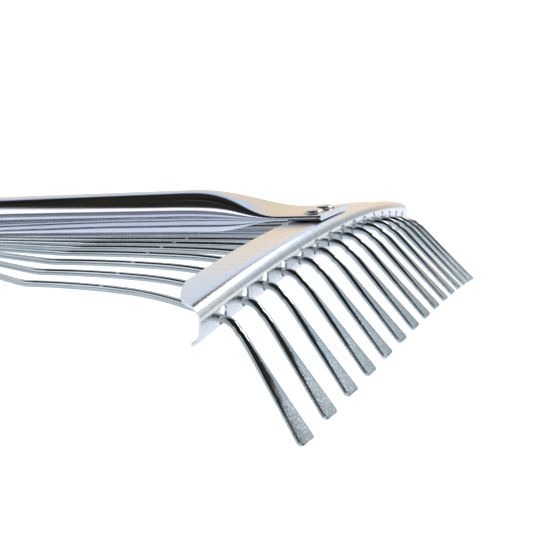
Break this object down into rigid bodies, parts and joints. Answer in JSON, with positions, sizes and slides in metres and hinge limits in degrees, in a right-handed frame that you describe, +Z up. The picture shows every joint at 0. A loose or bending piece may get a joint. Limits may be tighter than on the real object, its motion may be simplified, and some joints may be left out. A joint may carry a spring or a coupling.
{
  "type": "adjustable leaf rake",
  "caption": "Adjustable leaf rake with flat-tipped spring tines fanned through a slotted cross plate, a sliding clamped tine carrier and a telescopic tube handle.",
  "frame": {"origin": "on the floor, under the middle of the bounding box, with the rake lying on its two outer tine tips and its grip", "axes": "+Z up, -Y towards the tine tips, +Y towards the grip, X across the fan"},
  "size_m": [0.2278, 0.8332, 0.0696],
  "materials": {
    "polished_zinc": "bright zinc-plated round wire and tube",
    "brushed_zinc": "satin zinc-plated sheet",
    "fastener_zinc": "pale zinc-plated rivets and bolt",
    "black_plastic": "matt black",
    "grip_rubber": "soft black"
  },
  "bodies": {
    "head_and_lower_tube": {"lower_tube": "polished_zinc", "cross_plate": "brushed_zinc", "plate_rivet_left": "fastener_zinc", "plate_rivet_right": "fastener_zinc", "collet": "black_plastic"},
    "carrier": {"carrier_plate": "brushed_zinc", "spacer_strip": "brushed_zinc", "band_left": "brushed_zinc", "band_right": "brushed_zinc", "carrier_rivet_1": "fastener_zinc", "carrier_rivet_2": "fastener_zinc", "carrier_rivet_3": "fastener_zinc", "carrier_rivet_4": "fastener_zinc", "clamp_bolt": "fastener_zinc", "clamp_nut": "fastener_zinc", "lever_pin": "fastener_zinc", "tine_08": "polished_zinc"},
    "cam_lever": {"clamp_lever": "brushed_zinc"},
    "twist_collar": {"lock_collar": "black_plastic"},
    "upper_handle": {"upper_tube": "polished_zinc", "guide_plug": "black_plastic", "grip": "grip_rubber", "end_cap": "black_plastic"},
    "tine_01_body": {"tine_01": "polished_zinc"},
    "tine_02_body": {"tine_02": "polished_zinc"},
    "tine_03_body": {"tine_03": "polished_zinc"},
    "tine_04_body": {"tine_04": "polished_zinc"},
    "tine_05_body": {"tine_05": "polished_zinc"},
    "tine_06_body": {"tine_06": "polished_zinc"},
    "tine_07_body": {"tine_07": "polished_zinc"},
    "tine_09_body": {"tine_09": "polished_zinc"},
    "tine_10_body": {"tine_10": "polished_zinc"},
    "tine_11_body": {"tine_11": "polished_zinc"},
    "tine_12_body": {"tine_12": "polished_zinc"},
    "tine_13_body": {"tine_13": "polished_zinc"},
    "tine_14_body": {"tine_14": "polished_zinc"},
    "tine_15_body": {"tine_15": "polished_zinc"}
  },
  "joints": [
    {"name": "carrier_slide", "type": "slide", "parent": "head_and_lower_tube", "child": "carrier", "axis": [0, -0.9983, 0.0584], "range_m": [0, 0.13]},
    {"name": "cam_lever_pivot", "type": "hinge", "parent": "carrier", "child": "cam_lever", "pos_m": [-0.0135, -0.11536, 0.06209], "axis": [0, 0.0584, 0.9983], "range_deg": [0, 110]},
    {"name": "handle_telescope", "type": "slide", "parent": "head_and_lower_tube", "child": "upper_handle", "axis": [0, 0.9983, -0.0584], "range_m": [0, 0.38]},
    {"name": "collar_twist", "type": "hinge", "parent": "head_and_lower_tube", "child": "twist_collar", "pos_m": [0, 0.22098, 0.02388], "axis": [0, 0.9983, -0.0584], "range_deg": [0, 90]},
    {"name": "tine_01_pivot", "type": "hinge", "parent": "carrier", "child": "tine_01_body", "pos_m": [-0.035, -0.12914, 0.03194], "axis": [0, 0.0584, 0.9983], "range_deg": [-13.62, 0]},
    {"name": "tine_02_pivot", "type": "hinge", "parent": "carrier", "child": "tine_02_body", "pos_m": [-0.03, -0.12914, 0.03194], "axis": [0, 0.0584, 0.9983], "range_deg": [-11.98, 0]},
    {"name": "tine_03_pivot", "type": "hinge", "parent": "carrier", "child": "tine_03_body", "pos_m": [-0.025, -0.12914, 0.03194], "axis": [0, 0.0584, 0.9983], "range_deg": [-10.22, 0]},
    {"name": "tine_04_pivot", "type": "hinge", "parent": "carrier", "child": "tine_04_body", "pos_m": [-0.02, -0.12914, 0.03194], "axis": [0, 0.0584, 0.9983], "range_deg": [-8.37, 0]},
    {"name": "tine_05_pivot", "type": "hinge", "parent": "carrier", "child": "tine_05_body", "pos_m": [-0.015, -0.12914, 0.03194], "axis": [0, 0.0584, 0.9983], "range_deg": [-6.43, 0]},
    {"name": "tine_06_pivot", "type": "hinge", "parent": "carrier", "child": "tine_06_body", "pos_m": [-0.01, -0.12914, 0.03194], "axis": [0, 0.0584, 0.9983], "range_deg": [-4.43, 0]},
    {"name": "tine_07_pivot", "type": "hinge", "parent": "carrier", "child": "tine_07_body", "pos_m": [-0.005, -0.12914, 0.03194], "axis": [0, 0.0584, 0.9983], "range_deg": [-2.38, 0]},
    {"name": "tine_09_pivot", "type": "hinge", "parent": "carrier", "child": "tine_09_body", "pos_m": [0.005, -0.12914, 0.03194], "axis": [0, 0.0584, 0.9983], "range_deg": [0, 2.38]},
    {"name": "tine_10_pivot", "type": "hinge", "parent": "carrier", "child": "tine_10_body", "pos_m": [0.01, -0.12914, 0.03194], "axis": [0, 0.0584, 0.9983], "range_deg": [0, 4.43]},
    {"name": "tine_11_pivot", "type": "hinge", "parent": "carrier", "child": "tine_11_body", "pos_m": [0.015, -0.12914, 0.03194], "axis": [0, 0.0584, 0.9983], "range_deg": [0, 6.43]},
    {"name": "tine_12_pivot", "type": "hinge", "parent": "carrier", "child": "tine_12_body", "pos_m": [0.02, -0.12914, 0.03194], "axis": [0, 0.0584, 0.9983], "range_deg": [0, 8.37]},
    {"name": "tine_13_pivot", "type": "hinge", "parent": "carrier", "child": "tine_13_body", "pos_m": [0.025, -0.12914, 0.03194], "axis": [0, 0.0584, 0.9983], "range_deg": [0, 10.22]},
    {"name": "tine_14_pivot", "type": "hinge", "parent": "carrier", "child": "tine_14_body", "pos_m": [0.03, -0.12914, 0.03194], "axis": [0, 0.0584, 0.9983], "range_deg": [0, 11.98]},
    {"name": "tine_15_pivot", "type": "hinge", "parent": "carrier", "child": "tine_15_body", "pos_m": [0.035, -0.12914, 0.03194], "axis": [0, 0.0584, 0.9983], "range_deg": [0, 13.62]}
  ],
  "couplings": [
    {"joint": "tine_01_pivot", "follows": "carrier_slide", "rad_per_m": -1.7878},
    {"joint": "tine_02_pivot", "follows": "carrier_slide", "rad_per_m": -1.5675},
    {"joint": "tine_03_pivot", "follows": "carrier_slide", "rad_per_m": -1.3322},
    {"joint": "tine_04_pivot", "follows": "carrier_slide", "rad_per_m": -1.0835},
    {"joint": "tine_05_pivot", "follows": "carrier_slide", "rad_per_m": -0.8233},
    {"joint": "tine_06_pivot", "follows": "carrier_slide", "rad_per_m": -0.5541},
    {"joint": "tine_07_pivot", "follows": "carrier_slide", "rad_per_m": -0.2786},
    {"joint": "tine_09_pivot", "follows": "carrier_slide", "rad_per_m": 0.2786},
    {"joint": "tine_10_pivot", "follows": "carrier_slide", "rad_per_m": 0.5541},
    {"joint": "tine_11_pivot", "follows": "carrier_slide", "rad_per_m": 0.8233},
    {"joint": "tine_12_pivot", "follows": "carrier_slide", "rad_per_m": 1.0835},
    {"joint": "tine_13_pivot", "follows": "carrier_slide", "rad_per_m": 1.3322},
    {"joint": "tine_14_pivot", "follows": "carrier_slide", "rad_per_m": 1.5675},
    {"joint": "tine_15_pivot", "follows": "carrier_slide", "rad_per_m": 1.7878}
  ]
}
